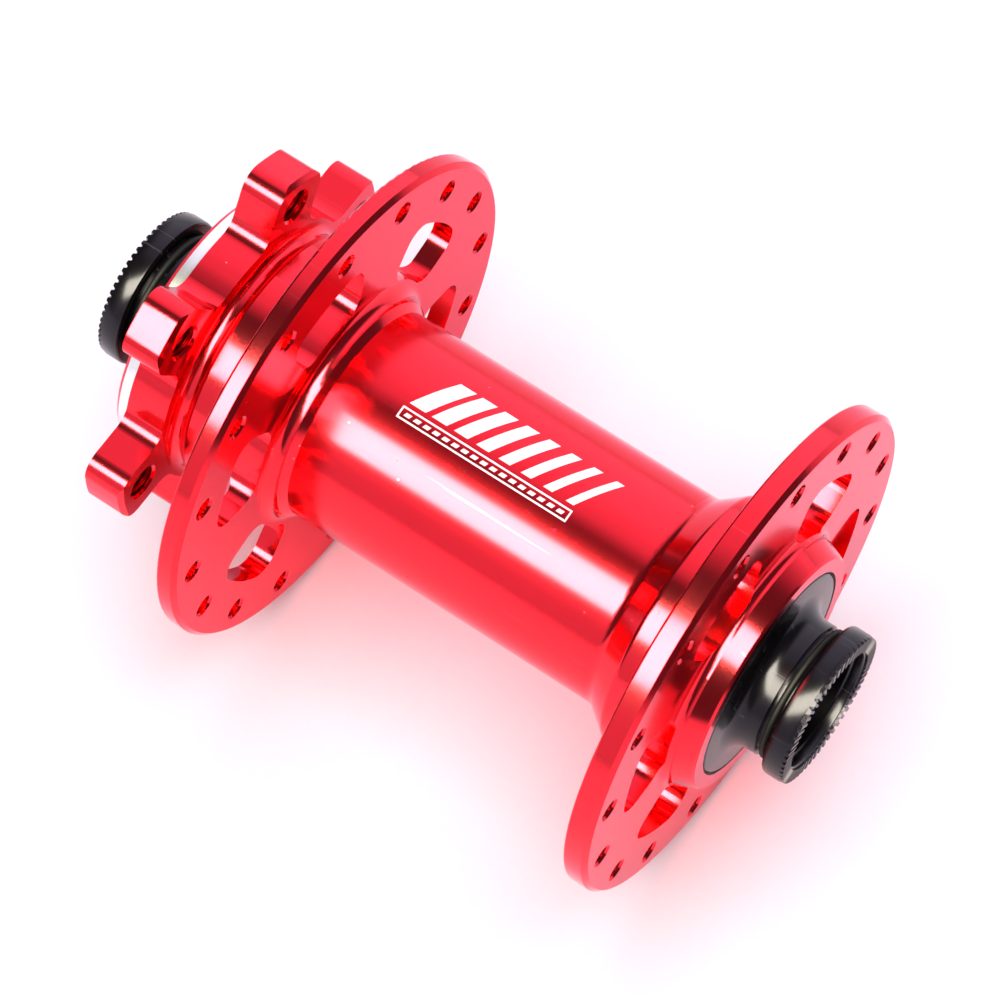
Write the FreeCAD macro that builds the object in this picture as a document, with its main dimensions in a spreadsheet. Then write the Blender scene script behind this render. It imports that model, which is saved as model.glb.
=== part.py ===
import FreeCAD, Part
import Sketcher
import math
import os
import re

# Front bicycle hub for a 15 mm through axle and a six-bolt disc rotor.
# Millimetres. The spin axis is Y, the disc side is +Y, +Z is up and the origin
# is the middle of the hub, half way between the two fork faces.
# Angles about the axis are measured from +X towards +Z.

doc = FreeCAD.newDocument("front_hub")

# ---------------------------------------------------------------- driving sizes
DIMENSIONS = [
    # overall
    ("fork_width", 100.0),
    ("axle_bore_dia", 15.1),
    ("shell_length", 83.2),
    # bearings, 17 x 28 x 7
    ("bearing_bore", 17.0),
    ("bearing_dia", 28.0),
    ("bearing_width", 7.0),
    ("bearing_recess", 1.0),
    ("race_wall", 1.75),
    ("race_edge", 0.3),
    ("ball_dia", 3.175),
    ("ball_count", 14.0),
    ("ball_clearance", 0.035),
    ("cage_wall", 1.0),
    ("cage_width", 4.0),
    ("cage_clearance", 0.08),
    ("seal_width", 0.45),
    ("seal_inset", 0.12),
    ("seal_clearance", 0.08),
    # shell
    ("barrel_dia", 28.5),
    ("shell_bore", 23.0),
    ("housing_dia", 34.0),
    ("housing_edge", 0.3),
    ("housing_run", 5.6),
    ("flare_angle", 38.0),
    ("flare_fillet", 1.9),
    ("root_fillet", 2.2),
    ("boss_fillet", 1.2),
    ("boss_taper", 0.9),
    ("boss_chamfer", 0.3),
    # spoke flanges
    ("left_flange_dia", 66.4),
    ("right_flange_dia", 65.7),
    ("left_flange_width", 2.7),
    ("right_flange_width", 3.2),
    ("rim_chamfer", 0.6),
    ("rim_round", 0.35),
    ("left_flange_offset", 22.2),
    ("right_flange_offset", 36.35),
    ("collar_step", 0.9),
    ("collar_fillet", 1.75),
    ("spoke_circle", 58.9),
    ("spoke_count", 16.0),
    ("spoke_hole_dia", 2.6),
    ("spoke_countersink", 0.3),
    ("cutout_count", 6.0),
    ("cutout_outer_radius", 25.2),
    ("cutout_depth", 7.9),
    ("cutout_angle", 34.5),
    ("cutout_corner", 2.7),
    # six-bolt disc mount
    ("rotor_inset", 10.5),
    ("rotor_circle", 44.0),
    ("rotor_bolts", 6.0),
    ("rotor_hole_dia", 4.2),
    ("rotor_countersink", 0.35),
    ("register_dia", 35.0),
    ("lip_width", 0.5),
    ("lip_drop", 0.4),
    ("lug_depth", 5.4),
    ("lug_width", 9.0),
    ("lug_tip_dia", 52.2),
    ("lug_corner", 2.6),
    ("lug_bevel", 0.5),
    ("valley_dia", 36.4),
    ("valley_fillet", 2.6),
    ("neck_clearance", 2.7),
    ("relief_depth", 1.0),
    ("relief_radius", 1.4),
    ("disc_clock", 2.0),
    # axle and end caps
    ("shoulder_dia", 20.0),
    ("stub_length", 4.0),
    ("cap_seat_dia", 20.4),
    ("cap_seat_width", 0.4),
    ("shield_gap", 0.35),
    ("shield_width", 0.6),
    ("shield_sweep", 2.4),
    ("cap_neck_dia", 17.7),
    ("collar_dia", 20.2),
    ("collar_width", 3.0),
    ("collar_chamfer", 0.3),
    ("cap_bore_chamfer", 0.4),
    ("groove_width", 1.7),
    ("groove_floor", 16.1),
    ("cap_ring_section", 0.8),
    ("spigot_groove_width", 1.1),
    ("spigot_groove_depth", 0.45),
    ("spigot_groove_inset", 0.9),
]

dims = doc.addObject("Spreadsheet::Sheet", "Dims")
for row, (name, value) in enumerate(DIMENSIONS, start=1):
    dims.set(f"A{row}", name)
    dims.set(f"B{row}", str(value))
    dims.setAlias(f"B{row}", name)
doc.recompute()


def size(name):
    """One driving size, as a number."""
    return float(dims.get(name))


def cells(expression):
    """Turn the plain names in an expression into references to the sheet."""
    return re.sub(r"[a-z_]{5,}", lambda name: f"Dims.{name.group()}", expression)


def number(expression):
    """The present value of an expression, to start a sketch close to its solution."""
    value = dims.evalExpression(cells(expression))
    return float(getattr(value, "Value", value))


# ---------------------------------------------------------------- lengths that follow
RACE_OUT = "shell_length / 2 - bearing_recess"
RACE_IN = "( shell_length / 2 - bearing_recess - bearing_width )"
BALL_MID = "( shell_length / 2 - bearing_recess - bearing_width / 2 )"
PITCH = "( bearing_bore + bearing_dia ) / 4"
ROTOR_FACE = "( fork_width / 2 - rotor_inset )"
LUG_BACK = "( fork_width / 2 - rotor_inset - lug_depth )"
LEFT_NEAR = "( left_flange_offset - left_flange_width / 2 )"
LEFT_FAR = "( left_flange_offset + left_flange_width / 2 )"
RIGHT_NEAR = "( - right_flange_offset + right_flange_width / 2 )"
RIGHT_FAR = "( - right_flange_offset - right_flange_width / 2 )"
NECK = "( rotor_circle / 2 - rotor_hole_dia / 2 - neck_clearance )"
LEFT_CLOCK = "( disc_clock + 180 / rotor_bolts )"
LEFT_SPOKES = "( disc_clock + 90 / rotor_bolts )"
RIGHT_CLOCK = f"( {LEFT_CLOCK} + 180 / spoke_count )"
RIGHT_SPOKES = f"( {LEFT_SPOKES} - 180 / spoke_count )"


# ---------------------------------------------------------------- sketch helpers
def origin(body, role):
    """An origin plane or axis of a body."""
    return next(item for item in body.Origin.OriginFeatures if item.Role == role)


def new_body(label):
    body = doc.addObject("PartDesign::Body", label)
    body.Label = label
    return body


def new_sketch(body, name, plane="XY_Plane", offset=None, clock=None):
    """A sketch on an origin plane, shifted along the plane's normal and turned on it."""
    sketch = body.newObject("Sketcher::SketchObject", name)
    sketch.AttachmentSupport = (origin(body, plane), [""])
    sketch.MapMode = "FlatFace"
    if offset:
        sketch.setExpression("AttachmentOffset.Base.z", cells(offset))
    if clock:
        sketch.setExpression("AttachmentOffset.Rotation.Angle", cells(clock))
    doc.recompute()
    return sketch


def bind(sketch, constraint, expression):
    """Add a driving constraint and tie it to the sheet."""
    index = sketch.addConstraint(constraint)
    sketch.setExpression(f"Constraints[{index}]", cells(expression))


def pin(sketch, edge, end, across, along):
    """Hold one end of an edge at two coordinates taken from the sheet."""
    bind(sketch, Sketcher.Constraint("DistanceX", -1, 1, edge, end, number(across)), across)
    bind(sketch, Sketcher.Constraint("DistanceY", -1, 1, edge, end, number(along)), along)


def arc_between(start, finish, radius, side):
    """The arc of a radius between two points; side +1 has its centre on the left."""
    middle = (start + finish) / 2
    chord = finish - start
    reach = math.sqrt(max(radius**2 - chord.Length**2 / 4, 0.0))
    normal = FreeCAD.Vector(-chord.y, chord.x, 0).normalize()
    centre = middle + normal * reach * side
    bulge = centre - normal * radius * side
    return Part.Arc(start, bulge, finish)


def closed_profile(sketch, points):
    """A closed outline. Each point is (across, along) or (across, along, radius, side),
    where the last two bend the edge that arrives at that point."""
    places = [FreeCAD.Vector(number(point[0]), number(point[1]), 0) for point in points]
    edges = []
    for index, point in enumerate(points):
        start = places[index - 1]
        finish = places[index]
        if len(point) == 4:
            curve = arc_between(start, finish, number(point[2]), point[3])
        else:
            curve = Part.LineSegment(start, finish)
        edges.append(sketch.addGeometry(curve, False))
    ends = []
    for point in points:
        swapped = len(point) == 4 and point[3] < 0
        ends.append((2, 1) if swapped else (1, 2))
    for index, point in enumerate(points):
        before = index - 1
        sketch.addConstraint(Sketcher.Constraint(
            "Coincident", edges[before], ends[before][1], edges[index], ends[index][0]))
        pin(sketch, edges[index], ends[index][1], point[0], point[1])
        if len(point) == 4:
            bind(sketch, Sketcher.Constraint("Radius", edges[index], number(point[2])), point[2])


def revolve(body, sketch, name, kind="Revolution"):
    """Turn a half section about the spin axis, to add it or, as a Groove, to cut it."""
    turned = body.newObject(f"PartDesign::{kind}", name)
    turned.Profile = sketch
    turned.ReferenceAxis = (origin(body, "Y_Axis"), [""])
    turned.Angle = 360
    sketch.Visibility = False
    doc.recompute()
    return turned


def turned_body(label, points, mirrored=False):
    """A body of revolution from its half section, or its mirror on the other side."""
    body = new_body(label)
    sketch = new_sketch(body, f"{label}_section")
    if mirrored:
        points = [flipped(point) for point in points]
    closed_profile(sketch, points)
    revolve(body, sketch, f"{label}_turned")
    return body


def flipped(point):
    """A profile point on the other side of the middle plane."""
    across, along = point[0], f"- ( {point[1]} )"
    if len(point) == 4:
        return (across, along, point[2], -point[3])
    return (across, along)


def around(body, feature, count, name):
    """Repeat a feature evenly about the spin axis."""
    pattern = body.newObject("PartDesign::PolarPattern", name)
    pattern.Originals = [feature]
    pattern.Axis = (origin(body, "Y_Axis"), [""])
    pattern.Angle = 360
    pattern.setExpression("Occurrences", cells(count))
    body.Tip = pattern
    doc.recompute()
    return pattern


def rims(feature, radius, places):
    """Names of the circular edges of one radius that lie in the given planes."""
    found = []
    for index, edge in enumerate(feature.Shape.Edges, start=1):
        curve = edge.Curve
        if not isinstance(curve, Part.Circle) or abs(curve.Radius - radius) > 1e-4:
            continue
        if any(abs(curve.Center.y - place) < 1e-4 for place in places):
            found.append(f"Edge{index}")
    return found


def bevel(body, kind, feature, names, amount, name):
    """A Fillet or Chamfer of one size on named edges."""
    edge_feature = body.newObject(f"PartDesign::{kind}", name)
    edge_feature.Base = (feature, names)
    edge_feature.setExpression("Radius" if kind == "Fillet" else "Size", cells(amount))
    body.Tip = edge_feature
    doc.recompute()
    return edge_feature


# ---------------------------------------------------------------- hub shell
def shell_section():
    """Half section of the shell, from the right end out over both flanges and back
    through the bearing seats. The barrel meets the right housing in a cone and the left
    flange in a small stepped collar, and a round relief runs behind the disc lugs."""
    half = "shell_length / 2"
    barrel = "barrel_dia / 2"
    housing = "housing_dia / 2"
    left_rim = "left_flange_dia / 2"
    right_rim = "right_flange_dia / 2"
    slope = "flare_angle * 1 deg"
    half_slope = "flare_angle / 2 * 1 deg"
    cone_top = f"( {RIGHT_NEAR} + housing_run )"
    cone_foot = f"( {cone_top} + ( housing_dia - barrel_dia ) / 2 / tan({slope}) )"
    blend = f"flare_fillet * tan({half_slope})"
    edge_round = f"housing_edge / tan({half_slope})"
    collar_foot = f"( {LEFT_NEAR} - collar_fillet - collar_step )"
    relief_middle = f"( {LUG_BACK} - relief_radius )"
    relief_run = "sqrt(relief_radius ^ 2 - ( relief_radius - relief_depth ) ^ 2 )"
    return [
        ("bearing_dia / 2", f"- {half}"),
        (f"{housing} - boss_taper - boss_chamfer", f"- {half}"),
        (f"{housing} - boss_taper", f"- {half} + boss_chamfer"),
        (housing, f"{RIGHT_FAR} - boss_fillet"),
        (f"{housing} + boss_fillet", RIGHT_FAR, "boss_fillet", -1),
        (f"{right_rim} - rim_chamfer", RIGHT_FAR),
        (right_rim, f"{RIGHT_FAR} + rim_chamfer"),
        (right_rim, f"{RIGHT_NEAR} - rim_round"),
        (f"{right_rim} - rim_round", RIGHT_NEAR, "rim_round", 1),
        (f"{housing} + root_fillet", RIGHT_NEAR),
        (housing, f"{RIGHT_NEAR} + root_fillet", "root_fillet", -1),
        (housing, f"{cone_top} - housing_edge"),
        (f"{housing} - housing_edge * sin({slope})",
         f"{cone_top} + housing_edge * cos({slope})", edge_round, 1),
        (f"{barrel} + {blend} * sin({slope})", f"{cone_foot} - {blend} * cos({slope})"),
        (barrel, f"{cone_foot} + {blend}", "flare_fillet", -1),
        (barrel, collar_foot),
        (f"{barrel} + collar_step", f"{collar_foot} + collar_step"),
        (f"{barrel} + collar_step + collar_fillet", LEFT_NEAR, "collar_fillet", -1),
        (f"{left_rim} - rim_chamfer", LEFT_NEAR),
        (left_rim, f"{LEFT_NEAR} + rim_chamfer"),
        (left_rim, f"{LEFT_FAR} - rim_round"),
        (f"{left_rim} - rim_round", LEFT_FAR, "rim_round", 1),
        (f"{NECK} + root_fillet", LEFT_FAR),
        (NECK, f"{LEFT_FAR} + root_fillet", "root_fillet", -1),
        (NECK, f"{relief_middle} - {relief_run}"),
        (f"{NECK} - relief_depth + relief_radius", LUG_BACK, "relief_radius", -1),
        ("valley_dia / 2", LUG_BACK),
        ("valley_dia / 2", ROTOR_FACE),
        ("register_dia / 2", ROTOR_FACE),
        ("register_dia / 2", f"{half} - lip_width"),
        ("register_dia / 2 - lip_drop", half),
        ("bearing_dia / 2", half),
        ("bearing_dia / 2", RACE_IN),
        ("shell_bore / 2", RACE_IN),
        ("shell_bore / 2", f"- {RACE_IN}"),
        ("bearing_dia / 2", f"- {RACE_IN}"),
    ]


def lug_outline(sketch):
    """One disc lug along +X: a rounded tip, straight flanks and a root that runs into
    the valley circle."""
    half_width = "lug_width / 2"
    tip = "lug_tip_dia / 2"
    root = "( valley_dia / 2 + valley_fillet )"
    reach = f"sqrt({root} ^ 2 - ( {half_width} + valley_fillet ) ^ 2 )"
    foot = f"{reach} * valley_dia / 2 / {root}"
    spread = f"( {half_width} + valley_fillet ) * valley_dia / 2 / {root}"
    flank_end = f"{tip} - lug_corner"
    closed_profile(sketch, [
        ("bearing_dia / 2 + race_edge", f"- {half_width}"),
        (foot, f"- {spread}"),
        (reach, f"- {half_width}", "valley_fillet", -1),
        (flank_end, f"- {half_width}"),
        (tip, f"- {half_width} + lug_corner", "lug_corner", 1),
        (tip, f"{half_width} - lug_corner", tip, 1),
        (flank_end, half_width, "lug_corner", 1),
        (reach, half_width),
        (foot, spread, "valley_fillet", -1),
        ("bearing_dia / 2 + race_edge", half_width),
    ])


def window_outline(sketch):
    """One flange window along +X: an arc outside, a shorter arc inside and two radial
    sides, with the four corners rounded."""
    outer = "cutout_outer_radius"
    inner = "( cutout_outer_radius - cutout_depth )"
    corner = "cutout_corner"
    half = "cutout_angle / 2 * 1 deg"
    outer_turn = f"({half} - asin({corner} / ({outer} - {corner})))"
    inner_turn = f"({half} - asin({corner} / ({inner} + {corner})))"
    outer_side = f"sqrt(({outer} - {corner}) ^ 2 - {corner} ^ 2)"
    inner_side = f"sqrt(({inner} + {corner}) ^ 2 - {corner} ^ 2)"
    closed_profile(sketch, [
        (f"{inner} * cos({inner_turn})", f"- {inner} * sin({inner_turn})", inner, -1),
        (f"{inner_side} * cos({half})", f"- {inner_side} * sin({half})", corner, 1),
        (f"{outer_side} * cos({half})", f"- {outer_side} * sin({half})"),
        (f"{outer} * cos({outer_turn})", f"- {outer} * sin({outer_turn})", corner, 1),
        (f"{outer} * cos({outer_turn})", f"{outer} * sin({outer_turn})", outer, 1),
        (f"{outer_side} * cos({half})", f"{outer_side} * sin({half})", corner, 1),
        (f"{inner_side} * cos({half})", f"{inner_side} * sin({half})"),
        (f"{inner} * cos({inner_turn})", f"{inner} * sin({inner_turn})", corner, 1),
    ])


def hole_outline(sketch, circle, diameter):
    """A round hole on the sketch's X axis, at the radius of its bolt or spoke circle."""
    hole = sketch.addGeometry(Part.Circle(
        FreeCAD.Vector(size(circle) / 2, 0, 0), FreeCAD.Vector(0, 0, 1), size(diameter) / 2), False)
    sketch.addConstraint(Sketcher.Constraint("PointOnObject", hole, 3, -1))
    bind(sketch, Sketcher.Constraint("DistanceX", -1, 1, hole, 3, size(circle) / 2), f"{circle} / 2")
    bind(sketch, Sketcher.Constraint("Diameter", hole, size(diameter)), diameter)


def cut_ring(body, name, outline, plane_height, clock, depth, count):
    """Cut one outline from a plane towards the disc side, then repeat it round the hub."""
    sketch = new_sketch(body, f"{name}_outline", "XZ_Plane", f"- {plane_height}", clock)
    outline(sketch)
    pocket = body.newObject("PartDesign::Pocket", name)
    pocket.Profile = sketch
    pocket.setExpression("Length", cells(depth))
    sketch.Visibility = False
    doc.recompute()
    return around(body, pocket, count, f"{name}_ring")


def build_shell():
    """The hub shell: one turned forging with a star of six disc lugs, two windowed
    spoke flanges and a bearing seat at each end."""
    body = new_body("hub_shell")
    section = new_sketch(body, "shell_section")
    closed_profile(section, shell_section())
    revolve(body, section, "shell_turned")

    lug_sketch = new_sketch(body, "lug_outline", "XZ_Plane", f"- {LUG_BACK}", "disc_clock")
    lug_outline(lug_sketch)
    lug = body.newObject("PartDesign::Pad", "lug")
    lug.Profile = lug_sketch
    lug.setExpression("Length", cells("lug_depth"))
    lug.Reversed = True
    lug_sketch.Visibility = False
    doc.recompute()
    around(body, lug, "rotor_bolts", "lug_ring")

    bevel_section = new_sketch(body, "lug_bevel_section")
    closed_profile(bevel_section, [
        ("lug_tip_dia / 2 - lug_bevel", LUG_BACK),
        ("lug_tip_dia / 2 + lug_bevel", f"{LUG_BACK} + lug_bevel * 2"),
        ("lug_tip_dia / 2 + lug_bevel", LUG_BACK),
    ])
    tip_cut = revolve(body, bevel_section, "lug_tips_turned", "Groove")
    body.Tip = tip_cut

    def bolt_hole(sketch):
        hole_outline(sketch, "rotor_circle", "rotor_hole_dia")

    def spoke_hole(sketch):
        hole_outline(sketch, "spoke_circle", "spoke_hole_dia")

    bolts = cut_ring(body, "bolt_hole", bolt_hole, LUG_BACK, "disc_clock", "lug_depth", "rotor_bolts")
    faces = [number(LUG_BACK), number(ROTOR_FACE)]
    rim_edges = rims(bolts, size("rotor_hole_dia") / 2, faces)
    bevel(body, "Chamfer", bolts, rim_edges, "rotor_countersink", "bolt_countersinks")

    for side, near, width, window_clock, spoke_clock in (
            ("left", LEFT_NEAR, "left_flange_width", LEFT_CLOCK, LEFT_SPOKES),
            ("right", RIGHT_FAR, "right_flange_width", RIGHT_CLOCK, RIGHT_SPOKES)):
        start = f"( {near} - root_fillet )"
        depth = f"{width} + root_fillet * 2"
        cut_ring(body, f"{side}_window", window_outline, start, window_clock, depth, "cutout_count")
        holes = cut_ring(body, f"{side}_spoke", spoke_hole, near, spoke_clock, width, "spoke_count")
    faces = [number(place) for place in (LEFT_NEAR, LEFT_FAR, RIGHT_NEAR, RIGHT_FAR)]
    rim_edges = rims(holes, size("spoke_hole_dia") / 2, faces)
    bevel(body, "Chamfer", holes, rim_edges, "spoke_countersink", "spoke_countersinks")
    return body


# ---------------------------------------------------------------- axle and end caps
def build_axle():
    """The axle tube: a shoulder between the bearings and a stub into each of them."""
    bore = "axle_bore_dia / 2"
    stub = "bearing_bore / 2"
    shoulder = "shoulder_dia / 2"
    return turned_body("axle_tube", [
        (bore, f"- {RACE_IN} - stub_length"),
        (stub, f"- {RACE_IN} - stub_length"),
        (stub, f"- {RACE_IN}"),
        (shoulder, f"- {RACE_IN}"),
        (shoulder, RACE_IN),
        (stub, RACE_IN),
        (stub, f"{RACE_IN} + stub_length"),
        (bore, f"{RACE_IN} + stub_length"),
    ])


SEAT = f"( {RACE_OUT} )"
CAP_END = "fork_width / 2"
GROOVE_OUT = "( fork_width / 2 - collar_width )"
GROOVE_IN = "( fork_width / 2 - collar_width - groove_width )"
SHIELD_BACK = f"( {RACE_OUT} + cap_seat_width )"
SHIELD_FACE = f"( {RACE_OUT} + cap_seat_width + shield_width )"
SPIGOT_END = f"( {RACE_IN} + stub_length )"
SPIGOT_GROOVE = f"( {RACE_OUT} - spigot_groove_inset )"


def build_cap(label, mirrored):
    """An end cap: a spigot in the bearing bore, a seat on the inner race, a flared dust
    shield in the mouth of the shell, a neck, a ring groove and the collar that the fork
    clamps."""
    bore = "axle_bore_dia / 2"
    spigot = "bearing_bore / 2"
    spigot_floor = "( bearing_bore / 2 - spigot_groove_depth )"
    shield = "( bearing_dia / 2 - shield_gap )"
    neck = "cap_neck_dia / 2"
    floor = "groove_floor / 2"
    collar = "collar_dia / 2"
    return turned_body(label, [
        (bore, SPIGOT_END),
        (spigot, SPIGOT_END),
        (spigot, f"{SPIGOT_GROOVE} - spigot_groove_width"),
        (spigot_floor, f"{SPIGOT_GROOVE} - spigot_groove_width"),
        (spigot_floor, SPIGOT_GROOVE),
        (spigot, SPIGOT_GROOVE),
        (spigot, SEAT),
        ("cap_seat_dia / 2", SEAT),
        ("cap_seat_dia / 2", SHIELD_BACK),
        (shield, SHIELD_BACK),
        (shield, SHIELD_FACE),
        (f"{neck} + shield_sweep", f"{SHIELD_FACE} + shield_width"),
        (neck, f"{SHIELD_FACE} + shield_width + shield_sweep", "shield_sweep", -1),
        (neck, GROOVE_IN),
        (floor, GROOVE_IN),
        (floor, GROOVE_OUT),
        (f"{collar} - collar_chamfer", GROOVE_OUT),
        (collar, f"{GROOVE_OUT} + collar_chamfer"),
        (collar, f"{CAP_END} - collar_chamfer"),
        (f"{collar} - collar_chamfer", CAP_END),
        (f"{bore} + cap_bore_chamfer", CAP_END),
        (bore, f"{CAP_END} - cap_bore_chamfer"),
    ], mirrored)


def build_cap_ring(label, mirrored):
    """The rubber ring between the neck and the collar of a cap: a round section with
    its inner side pressed flat on the groove floor."""
    floor = "groove_floor / 2"
    half = "cap_ring_section / 2"
    middle = f"({GROOVE_IN} + groove_width / 2)"
    return turned_body(label, [
        (floor, f"{middle} - {half}"),
        (f"{floor} + {half}", f"{middle} - {half}"),
        (f"{floor} + {half}", f"{middle} + {half}", half, 1),
        (floor, f"{middle} + {half}"),
    ], mirrored)


def build_spigot_ring(label, mirrored):
    """The thin rubber ring that holds a cap in its bearing bore."""
    floor = "( bearing_bore / 2 - spigot_groove_depth )"
    top = "bearing_bore / 2"
    return turned_body(label, [
        (floor, f"{SPIGOT_GROOVE} - spigot_groove_width"),
        (top, f"{SPIGOT_GROOVE} - spigot_groove_width"),
        (top, SPIGOT_GROOVE),
        (floor, SPIGOT_GROOVE),
    ], mirrored)


# ---------------------------------------------------------------- bearings
TRACK = "( ball_dia / 2 + ball_clearance )"
INNER_LAND = "( bearing_bore / 2 + race_wall )"
OUTER_LAND = "( bearing_dia / 2 - race_wall )"


def build_inner_race(label, mirrored):
    """An inner race with its ball track."""
    bore = "bearing_bore / 2"
    half_track = f"sqrt({TRACK} ^ 2 - ({PITCH} - {INNER_LAND}) ^ 2)"
    return turned_body(label, [
        (bore, f"{RACE_IN} + race_edge"),
        (f"{bore} + race_edge", RACE_IN),
        (INNER_LAND, RACE_IN),
        (INNER_LAND, f"{BALL_MID} - {half_track}"),
        (INNER_LAND, f"{BALL_MID} + {half_track}", TRACK, -1),
        (INNER_LAND, RACE_OUT),
        (f"{bore} + race_edge", RACE_OUT),
        (bore, f"{RACE_OUT} - race_edge"),
    ], mirrored)


def build_outer_race(label, mirrored):
    """An outer race with its ball track."""
    rim = "bearing_dia / 2"
    half_track = f"sqrt({TRACK} ^ 2 - ({OUTER_LAND} - {PITCH}) ^ 2)"
    return turned_body(label, [
        (OUTER_LAND, RACE_IN),
        (f"{rim} - race_edge", RACE_IN),
        (rim, f"{RACE_IN} + race_edge"),
        (rim, f"{RACE_OUT} - race_edge"),
        (f"{rim} - race_edge", RACE_OUT),
        (OUTER_LAND, RACE_OUT),
        (OUTER_LAND, f"{BALL_MID} + {half_track}"),
        (OUTER_LAND, f"{BALL_MID} - {half_track}", TRACK, -1),
    ], mirrored)


def build_seal(label, mirrored, outside):
    """A rubber seal: fixed in the outer race, just clear of the inner one."""
    near = f"{RACE_OUT} - seal_inset - seal_width" if outside else f"{RACE_IN} + seal_inset"
    inner = f"{INNER_LAND} + seal_clearance"
    return turned_body(label, [
        (inner, near),
        (OUTER_LAND, near),
        (OUTER_LAND, f"{near} + seal_width"),
        (inner, f"{near} + seal_width"),
    ], mirrored)


def ball_ring(label, radius, sign):
    """A ring of spheres on the pitch circle of one bearing."""
    spheres = []
    for index in range(int(size("ball_count"))):
        ball = doc.addObject("Part::Sphere", f"{label}_{index + 1}")
        ball.setExpression("Radius", cells(radius))
        turn = f"{index} * 360 / ball_count"
        ball.setExpression("Placement.Base.x", cells(f"{PITCH} * cos({turn})"))
        ball.setExpression("Placement.Base.y", cells(f"{sign} * {BALL_MID}"))
        ball.setExpression("Placement.Base.z", cells(f"{PITCH} * sin({turn})"))
        spheres.append(ball)
    ring = doc.addObject("Part::Compound", label)
    ring.Links = spheres
    ring.Label = label
    doc.recompute()
    return ring


def build_cage(label, mirrored):
    """A ball cage: a thin ring with a round pocket for each ball."""
    half = "cage_width / 2"
    cage = turned_body(label, [
        (f"{PITCH} - cage_wall / 2", f"{BALL_MID} - {half}"),
        (f"{PITCH} + cage_wall / 2", f"{BALL_MID} - {half}"),
        (f"{PITCH} + cage_wall / 2", f"{BALL_MID} + {half}"),
        (f"{PITCH} - cage_wall / 2", f"{BALL_MID} + {half}"),
    ], mirrored)
    place = f"- {BALL_MID}" if mirrored else BALL_MID
    width = "ball_dia + cage_clearance * 2"
    sketch = new_sketch(cage, f"{label}_pocket_outline", "YZ_Plane")
    centre = FreeCAD.Vector(number(place), 0, 0)
    hole = sketch.addGeometry(Part.Circle(centre, FreeCAD.Vector(0, 0, 1), number(width) / 2), False)
    sketch.addConstraint(Sketcher.Constraint("PointOnObject", hole, 3, -1))
    bind(sketch, Sketcher.Constraint("DistanceX", -1, 1, hole, 3, number(place)), place)
    bind(sketch, Sketcher.Constraint("Diameter", hole, number(width)), width)
    pocket = cage.newObject("PartDesign::Pocket", f"{label}_pocket")
    pocket.Profile = sketch
    pocket.Reversed = True
    pocket.setExpression("Length", cells("bearing_dia / 2"))
    sketch.Visibility = False
    doc.recompute()
    around(cage, pocket, "ball_count", f"{label}_pockets")
    return cage


def build_end(side):
    """Everything that one end of the hub holds besides the shell and the axle."""
    mirrored = side == "right"
    sign = -1 if mirrored else 1
    return [
        build_cap(f"{side}_end_cap", mirrored),
        build_cap_ring(f"{side}_end_cap_ring", mirrored),
        build_spigot_ring(f"{side}_spigot_ring", mirrored),
        build_inner_race(f"{side}_inner_race", mirrored),
        build_outer_race(f"{side}_outer_race", mirrored),
        build_seal(f"{side}_inboard_seal", mirrored, False),
        build_seal(f"{side}_outboard_seal", mirrored, True),
        ball_ring(f"{side}_balls", "ball_dia / 2", sign),
        build_cage(f"{side}_ball_cage", mirrored),
    ]


# ---------------------------------------------------------------- build and export
parts = [build_shell(), build_axle()]
for hub_side in ("left", "right"):
    parts += build_end(hub_side)
doc.recompute()

for item in doc.Objects:
    if any(flag in ("Invalid", "Error") for flag in item.State):
        raise RuntimeError(f"{item.Name} did not build: {item.State}")

os.makedirs("parts", exist_ok=True)
for part in parts:
    shape = part.Shape
    if shape.isNull() or not shape.isValid() or not shape.Solids:
        raise RuntimeError(f"{part.Label} has no valid solid")
    shape.exportStep(f"parts/{part.Label}.step")
    print(f"{part.Label}: {shape.Volume:.1f} mm3, {len(shape.Solids)} solid(s)")
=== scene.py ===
import math

import bmesh
import bpy
from mathutils import Matrix, Vector


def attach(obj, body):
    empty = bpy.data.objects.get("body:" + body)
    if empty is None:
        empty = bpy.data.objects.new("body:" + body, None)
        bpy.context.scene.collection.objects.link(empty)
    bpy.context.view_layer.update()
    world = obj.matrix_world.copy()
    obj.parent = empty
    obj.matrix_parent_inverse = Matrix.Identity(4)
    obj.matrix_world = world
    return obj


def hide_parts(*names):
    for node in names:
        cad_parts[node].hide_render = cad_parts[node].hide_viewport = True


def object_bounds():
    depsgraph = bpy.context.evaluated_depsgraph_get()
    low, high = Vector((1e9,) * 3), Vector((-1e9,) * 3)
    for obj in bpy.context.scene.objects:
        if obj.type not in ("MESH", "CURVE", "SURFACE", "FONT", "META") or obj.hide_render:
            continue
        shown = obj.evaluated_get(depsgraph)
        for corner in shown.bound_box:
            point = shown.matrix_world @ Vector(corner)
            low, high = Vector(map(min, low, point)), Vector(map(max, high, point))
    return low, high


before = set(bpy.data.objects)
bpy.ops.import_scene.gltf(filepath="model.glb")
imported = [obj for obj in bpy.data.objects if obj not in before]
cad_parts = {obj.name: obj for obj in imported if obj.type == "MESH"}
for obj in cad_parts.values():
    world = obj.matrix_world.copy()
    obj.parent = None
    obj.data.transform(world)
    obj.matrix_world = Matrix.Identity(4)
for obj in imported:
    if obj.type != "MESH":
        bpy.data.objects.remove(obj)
cad_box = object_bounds()


# ------------------------------------------------------------------ camera
# A long lens looks down on the plain end of the hub from its side, so the barrel runs
# from the upper left to the lower right of the frame.
AIM = Vector((0.0006, -0.0024, -0.0004))
AZIMUTH = math.radians(-54.82)
ELEVATION = math.radians(63.18)
CAMERA_DISTANCE = 0.5538
LENS = 166.5
FAR_CLIP = 20

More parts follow.
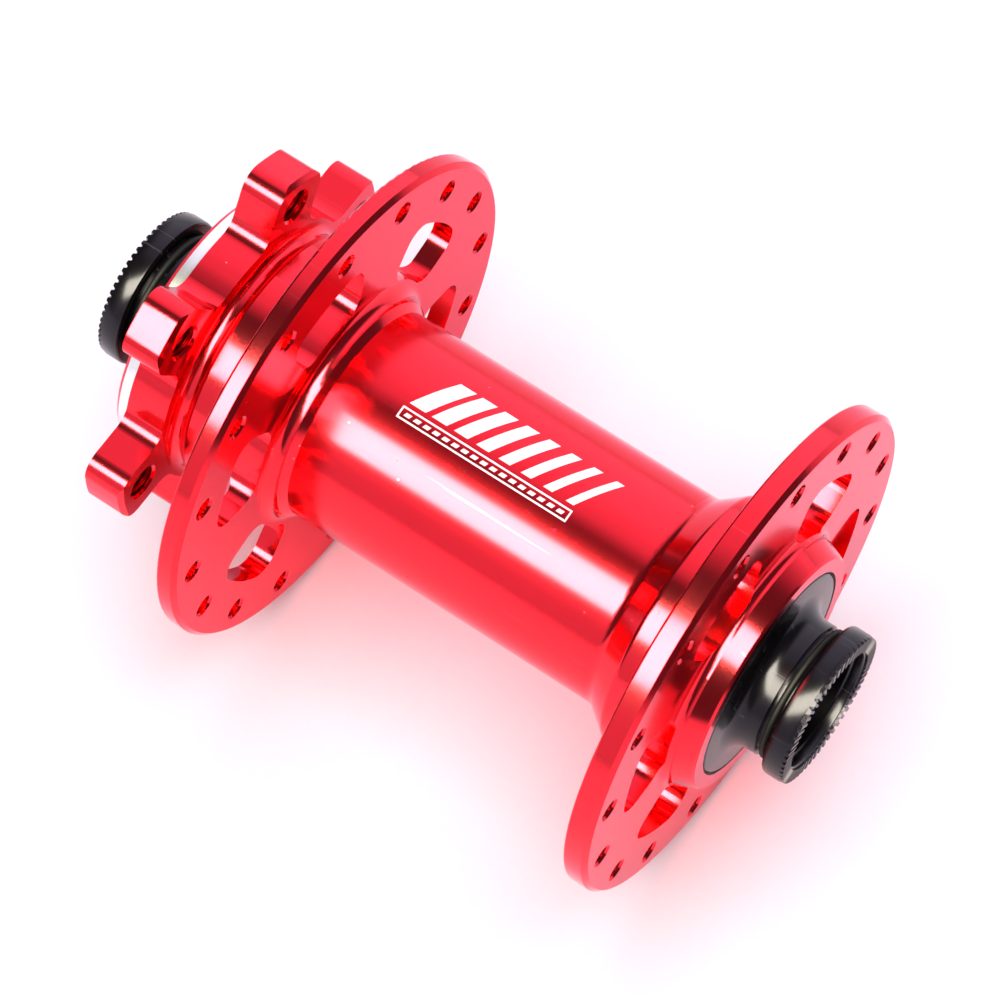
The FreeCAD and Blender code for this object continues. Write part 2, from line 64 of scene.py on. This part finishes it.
toward_camera = Vector((math.sin(AZIMUTH) * math.cos(ELEVATION),
                        -math.cos(AZIMUTH) * math.cos(ELEVATION),
                        math.sin(ELEVATION)))
camera = bpy.data.objects.new("camera", bpy.data.cameras.new("camera"))
camera.data.lens = LENS
camera.data.clip_end = FAR_CLIP
camera.location = AIM + toward_camera * CAMERA_DISTANCE
camera.rotation_euler = toward_camera.to_track_quat("Z", "Y").to_euler()
bpy.context.scene.collection.objects.link(camera)
bpy.context.scene.camera = camera


# ------------------------------------------------------------------ floor
# A sheet of smooth white card under the hub, with the faint clouding of matt paper.
class Signal:
    """An output of a node. Arithmetic on it adds Math nodes to the same tree."""

    def __init__(self, socket):
        self.socket = socket

    @staticmethod
    def node(tree, kind, settings=None, inputs=None, output=0):
        """Add a node: its settings first, then the values or links of its sockets."""
        made = tree.nodes.new(kind)
        for name, value in (settings or {}).items():
            if name == "stops":
                ramp = made.color_ramp
                while len(ramp.elements) < len(value):
                    ramp.elements.new(0.5)
                for stop, (place, colour) in zip(ramp.elements, value):
                    stop.position = place
                    stop.color = (*colour, 1.0)
            else:
                setattr(made, name, value)
        for name, value in (inputs or {}).items():
            if isinstance(value, Signal):
                tree.links.new(value.socket, made.inputs[name])
            else:
                made.inputs[name].default_value = value
        return Signal(made.outputs[output])

    def sibling(self, name):
        """Another output of the same node."""
        return Signal(self.socket.node.outputs[name])

    def math(self, operation, *others, clamp=False):
        inputs = dict(enumerate((self, *others)))
        settings = {"operation": operation, "use_clamp": clamp}
        return Signal.node(self.socket.id_data, "ShaderNodeMath", settings, inputs)

    def __add__(self, other):
        return self.math("ADD", other)

    def __sub__(self, other):
        return self.math("SUBTRACT", other)

    def __rsub__(self, other):
        return self.math("MULTIPLY", -1.0) + other

    def __mul__(self, other):
        return self.math("MULTIPLY", other)

    def __truediv__(self, other):
        return self.math("DIVIDE", other)

    def __pow__(self, other):
        return self.math("POWER", other)

    __radd__ = __add__
    __rmul__ = __mul__

    def above(self, level, softness):
        """A mask that rises from 0 to 1 as the value passes a level."""
        return ((self - level) / softness + 0.5).math("MULTIPLY", 1.0, clamp=True)


def blend_colours(factor, low, high):
    """A colour that goes from low to high with a mask."""
    mixed = Signal.node(factor.socket.id_data, "ShaderNodeMix", {"data_type": "RGBA"})
    mixer = mixed.socket.node
    tree = factor.socket.id_data
    tree.links.new(factor.socket, mixer.inputs[0])
    for slot, colour in ((6, low), (7, high)):
        if isinstance(colour, Signal):
            tree.links.new(colour.socket, mixer.inputs[slot])
        else:
            mixer.inputs[slot].default_value = (*colour, 1.0)
    return Signal(mixer.outputs[2])


def new_material(name):
    """An empty material with one Principled shader."""
    material = bpy.data.materials.new(name)
    material.use_nodes = True
    return material, material.node_tree, material.node_tree.nodes["Principled BSDF"]


def drive(surface, **signals):
    """Link signals to the sockets of a Principled shader."""
    for name, signal in signals.items():
        socket = surface.inputs[name.replace("_", " ").title()]
        surface.id_data.links.new(signal.socket, socket)


def noise(tree, vector, scale, detail=2.0):
    """A cloudy value between 0 and 1."""
    inputs = {"Vector": vector, "Scale": scale, "Detail": detail}
    return Signal.node(tree, "ShaderNodeTexNoise", inputs=inputs)


def object_place(tree):
    """The place of a surface point in the frame of the hub."""
    return Signal.node(tree, "ShaderNodeTexCoord", output="Object")


FLOOR_SIZE = 6.0
FLOOR_GAP = 0.0002

bpy.ops.mesh.primitive_plane_add(size=FLOOR_SIZE, location=(0, 0, cad_box[0][2] - FLOOR_GAP))
floor = bpy.context.object
floor.name = "floor"
card, card_tree, card_surface = new_material("white_card")
clouding = noise(card_tree, object_place(card_tree), 9.0, 4.0)
drive(card_surface, base_color=blend_colours(clouding, (0.91, 0.885, 0.92), (0.94, 0.915, 0.95)),
      roughness=clouding * 0.1 + 0.55)
card_surface.inputs["Specular IOR Level"].default_value = 0.2
floor.data.materials.append(card)


# ------------------------------------------------------------------ lights
# A photographer's table: one soft box leans over the hub and makes the hard streaks, a
# pale wall stands on the far side, and a wide screen overhead lights the white card.
def soft_box(name, direction, run, distance, size, power, tint=(1.0, 1.0, 1.0)):
    """An area light that faces the hub, its first size lying along a run direction."""
    data = bpy.data.lights.new(name, "AREA")
    data.shape = "RECTANGLE"
    data.size, data.size_y = size
    data.energy = power
    data.color = tint
    light = bpy.data.objects.new(name, data)
    way = Vector(direction).normalized()
    side = Vector(run) - way * way.dot(Vector(run))
    side.normalize()
    turn = Matrix((side, way.cross(side), way)).transposed()
    light.matrix_world = Matrix.Translation(way * distance) @ turn.to_4x4()
    bpy.context.scene.collection.objects.link(light)
    return light


STREAK_DISTANCE = 0.9
STREAK_SIZE = (1.45, 0.46)
STREAK_WATTS = 72
STREAK_TINT = (1.0, 1.0, 0.72)
SCREEN_DISTANCE = 1.2
SCREEN_SIZE = (1.3, 1.3)
SCREEN_WATTS = 18.5
WALL_STRENGTH = 0.9
HORIZON_STRENGTH = 0.6
NEAR_SIDE_STRENGTH = 0.75
ROOM_STRENGTH = 0.13

# The soft box shows only as a reflection, and the screen only as light on rough surfaces.
streak = soft_box("streak_box", (-0.44, -0.14, 0.77), (-0.41, 0.80, -0.08), STREAK_DISTANCE,
                  STREAK_SIZE, STREAK_WATTS, STREAK_TINT)
streak.visible_diffuse = False
screen = soft_box("screen", (-0.25, -0.05, 1.0), (0.0, 1.0, 0.0), SCREEN_DISTANCE, SCREEN_SIZE,
                  SCREEN_WATTS)
screen.visible_glossy = False

room = bpy.data.worlds.new("room")
bpy.context.scene.world = room
room.use_nodes = True
room_tree = room.node_tree
direction = Signal.node(room_tree, "ShaderNodeTexCoord", output="Generated")
across = Signal.node(room_tree, "ShaderNodeSeparateXYZ", inputs={"Vector": direction})
ahead = across.sibling("Y")
wall = across.above(0.10, 0.26) * WALL_STRENGTH + across.above(0.48, 0.36) * HORIZON_STRENGTH
near_side = 1.0 - across.above(-0.80, 0.16)
open_side = ahead.above(-0.33, 0.24) * (1.0 - ahead.above(0.56, 0.3))
strength = (wall + near_side * NEAR_SIDE_STRENGTH) * open_side + ROOM_STRENGTH
backdrop = room_tree.nodes["Background"]
backdrop.inputs["Color"].default_value = (1.0, 0.93, 1.08, 1.0)
room_tree.links.new(strength.socket, backdrop.inputs["Strength"])
bpy.context.scene.view_settings.view_transform = "Standard"


# ------------------------------------------------------------------ hub shell
# One forging of aluminium alloy, turned on a lathe and milled, then polished and
# anodised red. The rotor register and the bearing seats are cut after the dyeing, so
# they are bare metal. Its shape is the CAD solid's; this section gives its finish.
REGISTER_START = 0.0395
REGISTER_END = 0.04110
REGISTER_RADIUS = 0.01765
LAND_RADIUS = 0.01705
SEAT_RADIUS = 0.01402
SEAT_START = 0.0330
BARREL_RADIUS = 0.01432
BOLT_CIRCLE_RADIUS = 0.0220
BOLT_WALL = 0.00213
BOLT_START = 0.0340
BOLT_COUNT = 6
BOLT_CLOCK = math.radians(2.0)
THREAD_PITCH = 0.0008
CRISP = 2e-5
RELIEF = 2.2e-6


def turned_place(tree, place, fine, coarse):
    """Coordinates that run quickly across a turned surface and slowly round it."""
    x = Signal.node(tree, "ShaderNodeSeparateXYZ", inputs={"Vector": place})
    y, z = x.sibling("Y"), x.sibling("Z")
    radius = (x * x + z * z) ** 0.5
    inputs = {"X": radius * fine + x * coarse, "Y": y * fine, "Z": z * coarse}
    return radius, y, Signal.node(tree, "ShaderNodeCombineXYZ", inputs=inputs)


def bump(tree, height, distance, strength=1.0):
    """A surface relief of a given depth."""
    inputs = {"Strength": strength, "Distance": distance, "Height": height}
    return Signal.node(tree, "ShaderNodeBump", inputs=inputs)


def specks(tree, place, scale, size, amount):
    """A mask of small round spots, only some of the cells having one."""
    cell = Signal.node(tree, "ShaderNodeTexVoronoi", inputs={"Vector": place, "Scale": scale})
    chosen = Signal.node(tree, "ShaderNodeSeparateColor", inputs={"Color": cell.sibling("Color")})
    near = 1.0 - cell.above(size, size * 0.6)
    return near * chosen.above(1.0 - amount, 0.01)


def scratches(tree, place, scale, turn, amount):
    """A mask of fine straight hairlines in one direction."""
    inputs = {"Vector": place, "Rotation": turn, "Scale": (scale, scale * 0.02, scale * 0.3)}
    stretched = Signal.node(tree, "ShaderNodeMapping", inputs=inputs)
    return noise(tree, stretched, 1.0, 3.0).above(1.0 - amount, 0.04)


red, red_tree, red_surface = new_material("red_anodised_finish")
place = object_place(red_tree)
radius, along, lathe = turned_place(red_tree, place, 7000.0, 60.0)
lines = noise(red_tree, lathe, 1.0, 3.0)
clouds = noise(red_tree, place, 140.0, 3.0)
grain = noise(red_tree, place, 2600.0, 2.0)
pits = specks(red_tree, place, 420.0, 0.10, 0.10)
dust = specks(red_tree, place, 900.0, 0.09, 0.05)
hairlines = scratches(red_tree, place, 1500.0, (0.3, 0.5, 0.9), 0.30)

band = along.above(REGISTER_START, CRISP) * (1.0 - along.above(REGISTER_END, CRISP))
register = band * radius.above(LAND_RADIUS, CRISP) * (1.0 - radius.above(REGISTER_RADIUS, CRISP))
seats = (1.0 - radius.above(SEAT_RADIUS, CRISP)) * along.math("ABSOLUTE").above(SEAT_START, CRISP)
bare = (register + seats).math("MINIMUM", 1.0)
barrel = 1.0 - radius.above(BARREL_RADIUS, CRISP * 2)

# The six bolt holes fold into one, whose wall carries a helical thread and is darkened as painted
# shade of the deep hole.
eastward = Signal.node(red_tree, "ShaderNodeSeparateXYZ", inputs={"Vector": place})
turn = eastward.sibling("Z").math("ARCTAN2", eastward) - BOLT_CLOCK
fold = turn.math("WRAP", math.pi / BOLT_COUNT, -math.pi / BOLT_COUNT)
out, aside = radius * fold.math("COSINE") - BOLT_CIRCLE_RADIUS, radius * fold.math("SINE")
in_hole = 1.0 - ((out * out + aside * aside) ** 0.5).above(BOLT_WALL, CRISP)
in_hole = in_hole * along.above(BOLT_START, CRISP)
helix = (along * (2 * math.pi / THREAD_PITCH) + aside.math("ARCTAN2", out)).math("SINE") * in_hole

dye = blend_colours(clouds, (0.80, 0.0018, 0.0150), (0.90, 0.0034, 0.0210))
wear_and_hole_shade = blend_colours((dust * 0.6 + hairlines * 0.05).math("MINIMUM", 1.0), dye, (0.95, 0.45, 0.48))
# Painted shade: the colour inside the bolt holes is darkened to stand in for the shadow deep in the
# threaded holes.
wear_and_hole_shade = blend_colours(in_hole, wear_and_hole_shade, (0.16, 0.0008, 0.0016))
silver = blend_colours(lines, (0.74, 0.74, 0.76), (0.90, 0.90, 0.92))
drive(red_surface, base_color=blend_colours(bare, wear_and_hole_shade, silver),
      roughness=0.08 + lines * 0.05 + grain * 0.03 + pits * 0.2 + bare * 0.12 + barrel * 0.04
      + in_hole * 0.25,
      coat_weight=(1.0 - bare) * (1.0 - in_hole) * 0.55,
      normal=bump(red_tree, lines + pits * -3.0 + grain * 0.15 + hairlines * -0.3 + helix * 60.0,
                  RELIEF))
red_surface.inputs["Metallic"].default_value = 1.0
red_surface.inputs["Specular Tint"].default_value = (0.84, 0.42, 0.54, 1.0)
red_surface.inputs["Coat Roughness"].default_value = 0.17
red_surface.inputs["Coat IOR"].default_value = 1.5


def finish_node(name, material):
    """Give a CAD node its finish."""
    for slot in bpy.data.objects[name].material_slots:
        slot.material = material


finish_node("hub_shell", red)


# ------------------------------------------------------------------ printed graphic
# A plain white decoration on the barrel: a row of slanted bars that grow narrower, and
# under it a thin outlined strip with a row of dashes. Screen-printed ink, baked on.
PRINT_RADIUS = 0.01425
INK_THICKNESS = 0.00003
BAR_TOP = 70.6
BAR_FOOT = 94.4
STRIP_TOP = 96.9
STRIP_FOOT = 103.5
STRIP_LINE = 0.9
STRIP_LENGTH = 0.0242
STRIP_START = -0.0023
DASH_TOP = 99.3
DASH_FOOT = 101.2

ink, ink_tree, ink_surface = new_material("white_ink")
ink_place = object_place(ink_tree)
ink_grain = noise(ink_tree, ink_place, 5200.0, 3.0)
ink_clouds = noise(ink_tree, ink_place, 500.0, 3.0)
drive(ink_surface, base_color=blend_colours(ink_clouds, (0.86, 0.85, 0.86), (0.95, 0.94, 0.95)),
      roughness=0.38 + ink_grain * 0.14, normal=bump(ink_tree, ink_grain, 2e-6))


def new_tree(name, sizes):
    """A geometry tree with named size inputs, and the signals of those inputs."""
    tree = bpy.data.node_groups.new(name, "GeometryNodeTree")
    for label, kind in sizes.items():
        tree.interface.new_socket(label, in_out="INPUT", socket_type=f"NodeSocket{kind}")
    tree.interface.new_socket("Geometry", in_out="OUTPUT", socket_type="NodeSocketGeometry")
    entry = tree.nodes.new("NodeGroupInput")
    return tree, {label: Signal(entry.outputs[label]) for label in sizes}


def close_tree(tree, geometry, material):
    """End a tree in plain, shaded geometry with its material."""
    real = Signal.node(tree, "GeometryNodeRealizeInstances", inputs={"Geometry": geometry})
    inputs = {"Geometry": real, "Material": material}
    dressed = Signal.node(tree, "GeometryNodeSetMaterial", inputs=inputs)
    leave = tree.nodes.new("NodeGroupOutput")
    tree.links.new(dressed.socket, leave.inputs["Geometry"])


def grow(name, tree, sizes):
    """Run a tree with these sizes and keep its result as a plain mesh object."""
    seed = bpy.data.objects.new(f"{name}_seed", bpy.data.meshes.new(f"{name}_seed"))
    bpy.context.scene.collection.objects.link(seed)
    modifier = seed.modifiers.new("grow", "NODES")
    modifier.node_group = tree
    for item in tree.interface.items_tree:
        if item.in_out == "INPUT":
            modifier[item.identifier] = sizes[item.name]
    view = bpy.context.evaluated_depsgraph_get()
    mesh = bpy.data.meshes.new_from_object(seed.evaluated_get(view))
    mesh.name = name
    bpy.data.objects.remove(seed)
    made = bpy.data.objects.new(name, mesh)
    bpy.context.scene.collection.objects.link(made)
    return made


def vector(tree, x=0.0, y=0.0, z=0.0):
    return Signal.node(tree, "ShaderNodeCombineXYZ", inputs={"X": x, "Y": y, "Z": z})


def print_tree():
    """A row of slanted marks along the barrel, laid round its surface."""
    sizes = {"Count": "Int", "Pitch": "Float", "Mark Width": "Float", "Last Width": "Float",
             "Mark Height": "Float", "Slant": "Float", "Start": "Float", "Middle Angle": "Float",
             "Radius": "Float", "Thickness": "Float"}
    tree, size = new_tree("printed_row", sizes)
    spots = Signal.node(tree, "GeometryNodeMeshLine", inputs={
        "Count": size["Count"], "Start Location": vector(tree, size["Start"] * -1.0),
        "Offset": vector(tree, size["Pitch"])})
    block = Signal.node(tree, "GeometryNodeMeshCube", inputs={
        "Size": vector(tree, 1.0, size["Mark Height"], size["Thickness"]),
        "Vertices X": 9, "Vertices Y": 25, "Vertices Z": 2})
    order = Signal.node(tree, "GeometryNodeInputIndex")
    share = order / (size["Count"] - 1.0).math("MAXIMUM", 1.0)
    width = size["Mark Width"] + (size["Last Width"] - size["Mark Width"]) * share
    marks = Signal.node(tree, "GeometryNodeInstanceOnPoints", inputs={
        "Points": spots, "Instance": block, "Scale": vector(tree, width, 1.0, 1.0)})
    real = Signal.node(tree, "GeometryNodeRealizeInstances", inputs={"Geometry": marks})
    here = Signal.node(tree, "ShaderNodeSeparateXYZ", inputs={
        "Vector": Signal.node(tree, "GeometryNodeInputPosition")})
    across = here.sibling("Y")
    reach = size["Radius"] + here.sibling("Z")
    turn = size["Middle Angle"] - across / size["Radius"]
    lain = vector(tree, reach * turn.math("COSINE"), (here + across * size["Slant"]) * -1.0,
                  reach * turn.math("SINE"))
    wrapped = Signal.node(tree, "GeometryNodeSetPosition", inputs={
        "Geometry": real, "Position": lain})
    flipped_faces = Signal.node(tree, "GeometryNodeFlipFaces", inputs={"Mesh": wrapped})
    close_tree(tree, flipped_faces, ink)
    return tree


row_tree = print_tree()


def print_row(name, count, pitch, widths, start, top, foot, slant=0.0):
    """Print one row. The start and the pitch run towards the plain end, in metres."""
    row = grow(name, row_tree, {
        "Count": count, "Pitch": pitch, "Mark Width": widths[0], "Last Width": widths[1],
        "Mark Height": PRINT_RADIUS * math.radians(foot - top), "Slant": slant,
        "Start": start, "Middle Angle": math.radians((top + foot) / 2),
        "Radius": PRINT_RADIUS, "Thickness": INK_THICKNESS})
    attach(row, "hub")


print_row("printed_bars", 8, 0.0031, (0.0023, 0.0011), 0.0066, BAR_TOP, BAR_FOOT, slant=0.55)
strip = (STRIP_LENGTH, STRIP_LENGTH)
print_row("printed_strip_top", 1, 0.0, strip, STRIP_START, STRIP_TOP, STRIP_TOP + STRIP_LINE)
print_row("printed_strip_foot", 1, 0.0, strip, STRIP_START, STRIP_FOOT - STRIP_LINE, STRIP_FOOT)
print_row("printed_strip_ends", 2, 0.02398, (0.00022, 0.00022), 0.00969, STRIP_TOP, STRIP_FOOT)
print_row("printed_dashes", 17, 0.00136, (0.0008, 0.0008), 0.0086, DASH_TOP, DASH_FOOT, slant=0.4)


# ------------------------------------------------------------------ end caps
# Each cap is turned from aluminium and anodised black: a spigot in the bearing, a flared
# dust shield, a neck, a ring groove and a collar. The collar's end is pressed with a ring
# of sharp teeth that bite into the fork. The cap pushes in by hand and its ring holds it.
CAP_END = 0.0500
TOOTH_HEIGHT = 0.00030
TOOTH_ROOT = 0.0003
TOOTH_CREST = 0.42
TOOTH_COUNT = 60
TOOTH_OUTER = 0.01004
TOOTH_INNER = 0.00800
CAP_SEGMENTS = 180
CAP_BORE = 0.00755
SPIGOT_END = 0.0376
SPIGOT = 0.0085
SPIGOT_FLOOR = 0.00805
NECK = 0.00885
SHIELD = 0.01365
GROOVE = 0.00805

black, black_tree, black_surface = new_material("black_anodised_finish")
black_place = object_place(black_tree)
_, _, black_lathe = turned_place(black_tree, black_place, 9000.0, 90.0)
black_lines = noise(black_tree, black_lathe, 1.0, 3.0)
black_grain = noise(black_tree, black_place, 4200.0, 3.0)
black_dust = specks(black_tree, black_place, 800.0, 0.10, 0.10)
black_marks = scratches(black_tree, black_place, 1700.0, (0.9, 0.2, 0.4), 0.32)
black_dye = blend_colours(black_grain, (0.0015, 0.0012, 0.0015), (0.004, 0.0032, 0.004))
drive(black_surface,
      base_color=blend_colours((black_dust * 0.5 + black_marks * 0.1).math("MINIMUM", 1.0),
                               black_dye, (0.30, 0.29, 0.30)),
      roughness=0.15 + black_lines * 0.08 + black_grain * 0.05,
      normal=bump(black_tree, black_lines + black_grain * 0.6 + black_marks * -0.5, RELIEF))
black_surface.inputs["Specular IOR Level"].default_value = 0.26
black_surface.inputs["Specular Tint"].default_value = (1.0, 0.92, 1.1, 1.0)


def cap_section():
    """Half section of a cap as (radius, distance from the middle of the hub)."""
    face = CAP_END - TOOTH_HEIGHT
    sweep = []
    for step in range(11):
        turn = math.radians(9 * step)
        sweep.append((NECK + 0.0024 * (1 - math.sin(turn)), 0.0418 + 0.0024 * (1 - math.cos(turn))))
    return [
        (CAP_BORE, SPIGOT_END), (SPIGOT, SPIGOT_END), (SPIGOT, 0.0386), (SPIGOT_FLOOR, 0.0386),
        (SPIGOT_FLOOR, 0.0397), (SPIGOT, 0.0397), (SPIGOT, 0.0406), (0.0102, 0.0406),
        (0.0102, 0.0410), (SHIELD - 0.0001, 0.0410), (SHIELD, 0.0411), (SHIELD, 0.04148),
        (SHIELD - 0.00012, 0.0416), *sweep, (NECK, 0.04522), (NECK - 0.00008, 0.0453),
        (GROOVE, 0.0453), (GROOVE, 0.0470), (0.00960, 0.0470), (0.00985, 0.04706),
        (0.01002, 0.04722), (0.0101, 0.0475), (0.0101, face - 0.00035), (0.00998, face - 0.0001),
        (0.00980, face), (0.00800, face), (0.00786, face - 0.00008), (0.00778, face - 0.0003),
        (0.00775, face - 0.0012), (CAP_BORE, face - 0.0014),
    ]


def lathe_mesh(name, section, sign):
    """A closed ring-shaped mesh from a half section, round the spin axis."""
    mesh = bpy.data.meshes.new(name)
    work = bmesh.new()
    rings = []
    for index in range(CAP_SEGMENTS):
        turn = 2 * math.pi * index / CAP_SEGMENTS
        rings.append([work.verts.new((r * math.cos(turn), sign * y, r * math.sin(turn)))
                      for r, y in section])
    for index, ring in enumerate(rings):
        after = rings[(index + 1) % CAP_SEGMENTS]
        for corner in range(len(section)):
            onward = (corner + 1) % len(section)
            work.faces.new((ring[corner], ring[onward], after[onward], after[corner]))
    bmesh.ops.recalc_face_normals(work, faces=work.faces)
    work.to_mesh(mesh)
    work.free()
    mesh.shade_smooth()
    mesh.set_sharp_from_angle(angle=math.radians(28))
    return mesh


def teeth_tree():
    """A ring of radial ridges round the Z axis, each a bar that narrows to its crest."""
    sizes = {"Count": "Int", "Inner Radius": "Float", "Outer Radius": "Float", "Height": "Float",
             "Base": "Float", "Crest": "Float", "Level": "Float", "Upright": "Float"}
    tree, size = new_tree("collar_teeth", sizes)
    length = size["Outer Radius"] - size["Inner Radius"]
    bar = Signal.node(tree, "GeometryNodeMeshCube", inputs={
        "Size": vector(tree, length, size["Base"], size["Height"]),
        "Vertices X": 4, "Vertices Y": 3, "Vertices Z": 3})
    here = Signal.node(tree, "ShaderNodeSeparateXYZ", inputs={
        "Vector": Signal.node(tree, "GeometryNodeInputPosition")})
    rise = here.sibling("Z") / size["Height"] + 0.5
    outward = here / length + 0.5
    narrow = 1.0 - rise * (1.0 - size["Crest"])
    fan = 0.78 + outward * 0.22
    ends = 1.0 - rise * 0.10
    shaped = Signal.node(tree, "GeometryNodeSetPosition", inputs={
        "Geometry": bar,
        "Position": vector(tree, here * ends, here.sibling("Y") * narrow * fan, here.sibling("Z"))})
    circle = Signal.node(tree, "GeometryNodeMeshCircle", inputs={
        "Vertices": size["Count"],
        "Radius": (size["Outer Radius"] + size["Inner Radius"]) * 0.5})
    order = Signal.node(tree, "GeometryNodeInputIndex")
    facing = vector(tree, z=order * (2 * math.pi) / size["Count"])
    ring = Signal.node(tree, "GeometryNodeInstanceOnPoints", inputs={
        "Points": circle, "Instance": shaped, "Rotation": facing})
    real = Signal.node(tree, "GeometryNodeRealizeInstances", inputs={"Geometry": ring})
    stand = Signal.node(tree, "GeometryNodeTransform", inputs={
        "Geometry": real, "Translation": vector(tree, y=size["Level"]),
        "Rotation": vector(tree, x=size["Upright"])})
    close_tree(tree, stand, black)
    return tree


collar_teeth = teeth_tree()
for side, sign in (("left", 1.0), ("right", -1.0)):
    body_name = f"{side}_cap_body"
    body = bpy.data.objects.new(body_name, lathe_mesh(body_name, cap_section(), sign))
    bpy.context.scene.collection.objects.link(body)
    body.data.materials.append(black)
    teeth = grow(f"{side}_cap_teeth", collar_teeth, {
        "Count": TOOTH_COUNT, "Inner Radius": TOOTH_INNER, "Outer Radius": TOOTH_OUTER,
        "Height": TOOTH_HEIGHT + TOOTH_ROOT, "Base": 2 * math.pi * TOOTH_OUTER / TOOTH_COUNT,
        "Crest": TOOTH_CREST, "Level": sign * (CAP_END - (TOOTH_HEIGHT + TOOTH_ROOT) / 2),
        "Upright": -sign * math.pi / 2})
    for piece in (body, teeth):
        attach(piece, "axle")
        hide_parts(f"{side}_end_cap")


# ------------------------------------------------------------------ rubber rings and seals
# Moulded nitrile rubber: a round ring in each collar groove, a thin one on each spigot,
# and four bearing seals. The rings are stretched on; the seals snap into the outer races.
def rubber_finish(name, low, high, ribs):
    """Matt rubber with moulding bloom, and round ribs on flat faces."""
    material, tree, surface = new_material(name)
    spot = object_place(tree)
    _, _, round_place = turned_place(tree, spot, ribs, 40.0)
    rib = noise(tree, round_place, 1.0, 1.0)
    bloom = noise(tree, spot, 700.0, 4.0)
    drive(surface, base_color=blend_colours(bloom, low, high), roughness=0.48 + bloom * 0.25,
          normal=bump(tree, rib + bloom * 0.5, 6e-6))
    surface.inputs["Specular IOR Level"].default_value = 0.25
    return material


ring_rubber = rubber_finish("ring_rubber", (0.002, 0.0018, 0.002), (0.005, 0.0044, 0.005), 5000.0)
seal_rubber = rubber_finish("seal_rubber_finish", (0.012, 0.012, 0.014), (0.03, 0.03, 0.034),
                            2600.0)
for side in ("left", "right"):
    for ring_name in (f"{side}_end_cap_ring", f"{side}_spigot_ring"):
        finish_node(ring_name, ring_rubber)
    for seal_name in (f"{side}_inboard_seal", f"{side}_outboard_seal"):
        finish_node(seal_name, seal_rubber)


# ------------------------------------------------------------------ bearings and axle
# Races and balls of chrome steel, ground and polished, a pressed steel cage in each
# bearing, and an axle tube of bare machined aluminium pressed through the inner races.
def metal_finish(name, low, high, roughness, lines_scale, relief):
    """Bare metal with the lines of its last turning or grinding."""
    material, tree, surface = new_material(name)
    spot = object_place(tree)
    _, _, round_place = turned_place(tree, spot, lines_scale, 80.0)
    line = noise(tree, round_place, 1.0, 3.0)
    stain = noise(tree, spot, 260.0, 3.0)
    drive(surface, base_color=blend_colours(line * 0.6 + stain * 0.4, low, high),
          roughness=roughness + line * 0.1 + stain * 0.08, normal=bump(tree, line, relief))
    surface.inputs["Metallic"].default_value = 1.0
    return material


steel = metal_finish("bearing_steel_finish", (0.62, 0.62, 0.64), (0.80, 0.80, 0.82),
                     0.10, 9000.0, 1e-6)
pressed = metal_finish("cage_steel_finish", (0.50, 0.47, 0.43), (0.66, 0.63, 0.58),
                       0.24, 3000.0, 2e-6)
alloy = metal_finish("axle_alloy_finish", (0.66, 0.66, 0.68), (0.84, 0.84, 0.86),
                     0.20, 5000.0, 3e-6)
finish_node("axle_tube", alloy)
for side in ("left", "right"):
    finish_node(f"{side}_ball_cage", pressed)
    for steel_name in (f"{side}_inner_race", f"{side}_outer_race", f"{side}_balls"):
        finish_node(steel_name, steel)
